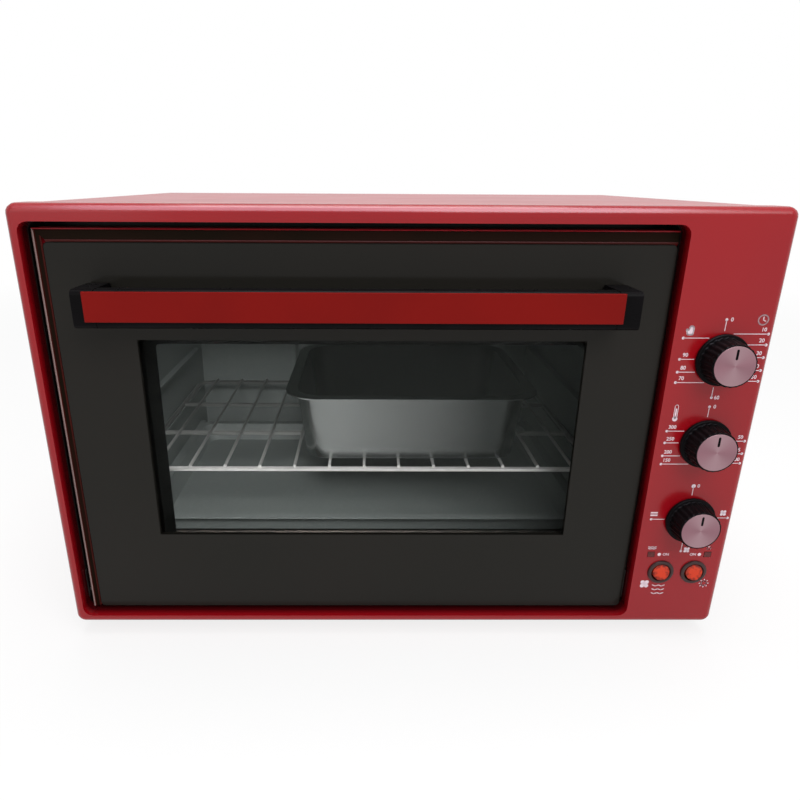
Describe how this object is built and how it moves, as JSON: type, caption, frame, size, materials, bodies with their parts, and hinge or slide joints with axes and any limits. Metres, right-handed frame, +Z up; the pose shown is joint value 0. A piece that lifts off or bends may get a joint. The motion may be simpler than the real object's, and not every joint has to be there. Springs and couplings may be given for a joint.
{
  "type": "electric oven",
  "caption": "Countertop electric oven with a drop-down glass door, bar handle, three rotary knobs and two round rocker switches.",
  "frame": {"origin": "middle of the bounding box's footprint, on the worktop under the feet", "axes": "+Z up, +X to the right seen from the front, the door faces -Y"},
  "size_m": [0.59, 0.417, 0.386],
  "materials": {
    "red_paint": "satin red paint",
    "red_moulding": "satin red moulded plastic",
    "handle_red": "satin deep red",
    "zinc_sheet": "zinc-coated sheet",
    "grey_enamel": "speckled grey enamel",
    "dark_enamel": "black enamel",
    "bright_steel": "bright steel",
    "heater_metal": "dark sheathed element",
    "brushed_silver": "brushed silver",
    "black_plastic": "satin black",
    "foot_rubber": "black rubber",
    "dark_glass": "dark printed glass",
    "clear_glass": "clear glass",
    "seal_rubber": "woven seal",
    "amber_plastic": "orange-red translucent",
    "dark_red_lens": "dark red lens",
    "white_ceramic": "white ceramic"
  },
  "bodies": {
    "cabinet": {"front_bezel": "red_moulding", "front_frame": "dark_enamel", "cabinet_wrap": "red_paint", "base_plate": "zinc_sheet", "rear_cover": "zinc_sheet", "cord_grommet": "black_plastic", "foot_front_left": "foot_rubber", "foot_front_right": "foot_rubber", "foot_rear_left": "foot_rubber", "foot_rear_right": "foot_rubber", "heat_shield": "zinc_sheet", "oven_cavity": "grey_enamel", "door_seal": "seal_rubber", "upper_heater": "heater_metal", "upper_heater_clip": "bright_steel", "lower_heater": "heater_metal", "lower_heater_clip": "bright_steel", "fan_motor": "dark_enamel", "fan_guard": "grey_enamel", "lamp_holder": "white_ceramic", "lamp_bulb": "clear_glass", "lamp_cover": "clear_glass", "thermostat_sensor": "bright_steel", "timer_unit": "zinc_sheet", "thermostat_unit": "zinc_sheet", "selector_unit": "white_ceramic", "hinge_plate_left": "zinc_sheet", "hinge_pin_left": "bright_steel", "hinge_plate_right": "zinc_sheet", "hinge_pin_right": "bright_steel", "heating_pilot_lens": "dark_red_lens", "power_pilot_lens": "dark_red_lens", "fan_switch_body": "black_plastic", "lamp_switch_body": "black_plastic"},
    "door": {"door_pan": "red_paint", "door_outer_glass": "dark_glass", "door_inner_panel": "dark_enamel", "door_inner_glass": "clear_glass", "handle_bar": "black_plastic", "handle_strip": "handle_red", "handle_bracket_left": "black_plastic", "handle_bracket_right": "black_plastic", "hinge_arm_left": "zinc_sheet", "hinge_arm_right": "zinc_sheet"},
    "timer_dial": {"timer_knob": "black_plastic", "timer_knob_face": "brushed_silver", "timer_shaft": "bright_steel"},
    "thermostat_dial": {"thermostat_knob": "black_plastic", "thermostat_knob_face": "brushed_silver", "thermostat_shaft": "bright_steel"},
    "function_dial": {"function_knob": "black_plastic", "function_knob_face": "brushed_silver", "function_shaft": "bright_steel"},
    "fan_switch": {"fan_rocker": "amber_plastic"},
    "lamp_switch": {"lamp_rocker": "amber_plastic"},
    "fan": {"fan_blade": "bright_steel"},
    "rack": {"wire_rack": "bright_steel", "baking_pan": "grey_enamel"},
    "tray": {"drip_tray": "grey_enamel"}
  },
  "joints": [
    {"name": "door_hinge", "type": "hinge", "parent": "cabinet", "child": "door", "pos_m": [0, -0.1607, 0.0385], "axis": [1, 0, 0], "range_deg": [0, 85]},
    {"name": "timer_turn", "type": "hinge", "parent": "cabinet", "child": "timer_dial", "pos_m": [0.256, -0.1795, 0.269], "axis": [0, 1, 0], "range_deg": [-63, 270]},
    {"name": "thermostat_turn", "type": "hinge", "parent": "cabinet", "child": "thermostat_dial", "pos_m": [0.256, -0.1795, 0.1965], "axis": [0, 1, 0], "range_deg": [0, 300]},
    {"name": "function_turn", "type": "hinge", "parent": "cabinet", "child": "function_dial", "pos_m": [0.256, -0.1795, 0.124], "axis": [0, 1, 0], "range_deg": [0, 270]},
    {"name": "fan_switch_rock", "type": "hinge", "parent": "cabinet", "child": "fan_switch", "pos_m": [0.23925, -0.1775, 0.0702], "axis": [1, 0, 0], "range_deg": [0, 16]},
    {"name": "lamp_switch_rock", "type": "hinge", "parent": "cabinet", "child": "lamp_switch", "pos_m": [0.26895, -0.1775, 0.0702], "axis": [1, 0, 0], "range_deg": [0, 16]},
    {"name": "fan_spin", "type": "hinge", "parent": "cabinet", "child": "fan", "pos_m": [-0.02885, 0.1605, 0.19975], "axis": [0, 1, 0], "continuous": true},
    {"name": "rack_slide", "type": "slide", "parent": "cabinet", "child": "rack", "axis": [0, -1, 0], "range_m": [0, 0.12]},
    {"name": "tray_slide", "type": "slide", "parent": "cabinet", "child": "tray", "axis": [0, -1, 0], "range_m": [0, 0.07]}
  ],
  "couplings": [
    {"joint": "rack_slide", "follows": "door_hinge", "m_per_rad": 0.08},
    {"joint": "tray_slide", "follows": "door_hinge", "m_per_rad": 0.045}
  ]
}
